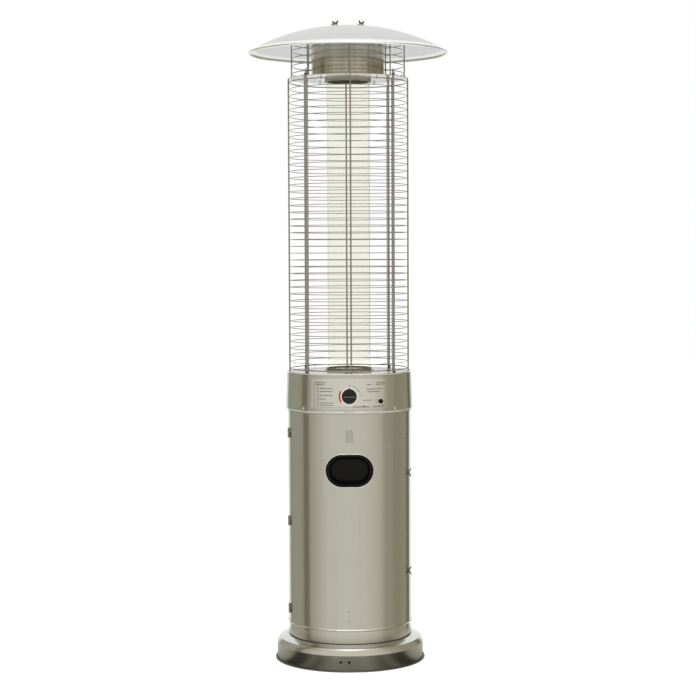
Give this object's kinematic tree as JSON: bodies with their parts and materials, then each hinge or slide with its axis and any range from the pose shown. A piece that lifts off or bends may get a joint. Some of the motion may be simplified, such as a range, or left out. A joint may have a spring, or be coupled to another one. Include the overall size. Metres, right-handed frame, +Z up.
{
  "type": "patio heater",
  "caption": "Free-standing gas patio heater with a round bottle housing, glass flame tube in a wire guard, and domed reflector.",
  "frame": {"origin": "centre of the base at floor level", "axes": "+Z up along the main axis, -Y to the front (door, knob), +X to the right seen from the front"},
  "size_m": [0.565, 0.565, 1.806],
  "materials": {
    "body_steel": "brushed stainless sheet",
    "galvanised": "zinc plated sheet",
    "stainless": "brushed stainless, heat tinted",
    "bright_steel": "zinc plated bright",
    "wire": "nickel plated wire",
    "black_plastic": "fine textured black moulding",
    "glass": "clear borosilicate",
    "label": "satin silver printed plate",
    "dome": "satin spun aluminium",
    "brass": "machined brass",
    "ceramic": "glazed ceramic",
    "silicone": "high temperature seal",
    "dark_nut": "black oxide"
  },
  "bodies": {
    "heater_frame": {"base_collar": "body_steel", "base_plate": "galvanised", "base_shell": "body_steel", "burner_head": "stainless", "burner_screws": "bright_steel", "burner_tube": "stainless", "control_housing": "body_steel", "control_label": "label", "dome_bracket": "galvanised", "dome_spacers": "bright_steel", "dome_studs": "bright_steel", "dome_washers": "bright_steel", "exhaust_screws": "bright_steel", "exhaust_shell": "stainless", "frame_posts": "galvanised", "gas_inlet": "brass", "gas_pipe": "bright_steel", "gas_valve": "brass", "glass_tube": "glass", "hinge_leaves_fixed": "bright_steel", "hinge_pins": "bright_steel", "housing_floor": "galvanised", "igniter_body": "black_plastic", "igniter_ring": "bright_steel", "igniter_spring": "bright_steel", "ignition_electrode": "ceramic", "injector": "brass", "injector_bracket": "galvanised", "latch_catches": "galvanised", "lower_guard_back": "wire", "lower_guard_front": "wire", "lower_guard_left": "wire", "lower_guard_right": "wire", "lower_ring": "galvanised", "panel_screws": "bright_steel", "pilot_bracket": "galvanised", "pilot_burner": "bright_steel", "pilot_pipe": "bright_steel", "post_nuts": "dark_nut", "rear_shell": "body_steel", "reflector_dome": "dome", "shelf_plate": "stainless", "support_posts": "wire", "thermocouple": "bright_steel", "tilt_switch": "black_plastic", "top_plate": "body_steel", "tube_seals": "silicone", "upper_guard": "wire", "upper_ring": "galvanised", "valve_bracket": "galvanised", "wing_nuts": "bright_steel"},
    "door": {"door_shell": "body_steel", "door_handle": "black_plastic", "hinge_leaves_door": "bright_steel"},
    "wing_screw_lower": {"wing_screw_lower": "bright_steel"},
    "wing_screw_upper": {"wing_screw_upper": "bright_steel"},
    "stem_clip": {"stem_clip": "bright_steel"},
    "control_knob": {"control_knob": "black_plastic", "valve_stem": "bright_steel"},
    "igniter_button": {"igniter_button": "black_plastic"}
  },
  "joints": [
    {"name": "door_hinge", "type": "hinge", "parent": "heater_frame", "child": "door", "pos_m": [-0.17201, -0.05095, 0.4], "axis": [0, 0, -1], "range_deg": [0, 110]},
    {"name": "wing_screw_lower_turn", "type": "hinge", "parent": "door", "child": "wing_screw_lower", "pos_m": [0.1644, -0.06114, 0.258], "axis": [0.9373, -0.3486, 0], "range_deg": [0, 90]},
    {"name": "wing_screw_upper_turn", "type": "hinge", "parent": "door", "child": "wing_screw_upper", "pos_m": [0.1644, -0.06114, 0.537], "axis": [0.9373, -0.3486, 0], "range_deg": [0, 90]},
    {"name": "knob_push", "type": "slide", "parent": "heater_frame", "child": "stem_clip", "axis": [0, 1, 0], "range_m": [0, 0.003], "stiffness_N_per_m": 900, "springref_m": -0.002},
    {"name": "knob_turn", "type": "hinge", "parent": "stem_clip", "child": "control_knob", "pos_m": [0, -0.1852, 0.762], "axis": [0, -1, 0], "range_deg": [0, 230]},
    {"name": "igniter_push", "type": "slide", "parent": "heater_frame", "child": "igniter_button", "axis": [-0.4756, 0.8796, 0], "range_m": [0, 0.004], "stiffness_N_per_m": 700, "springref_m": -0.002, "deforming": ["igniter_spring"]}
  ]
}
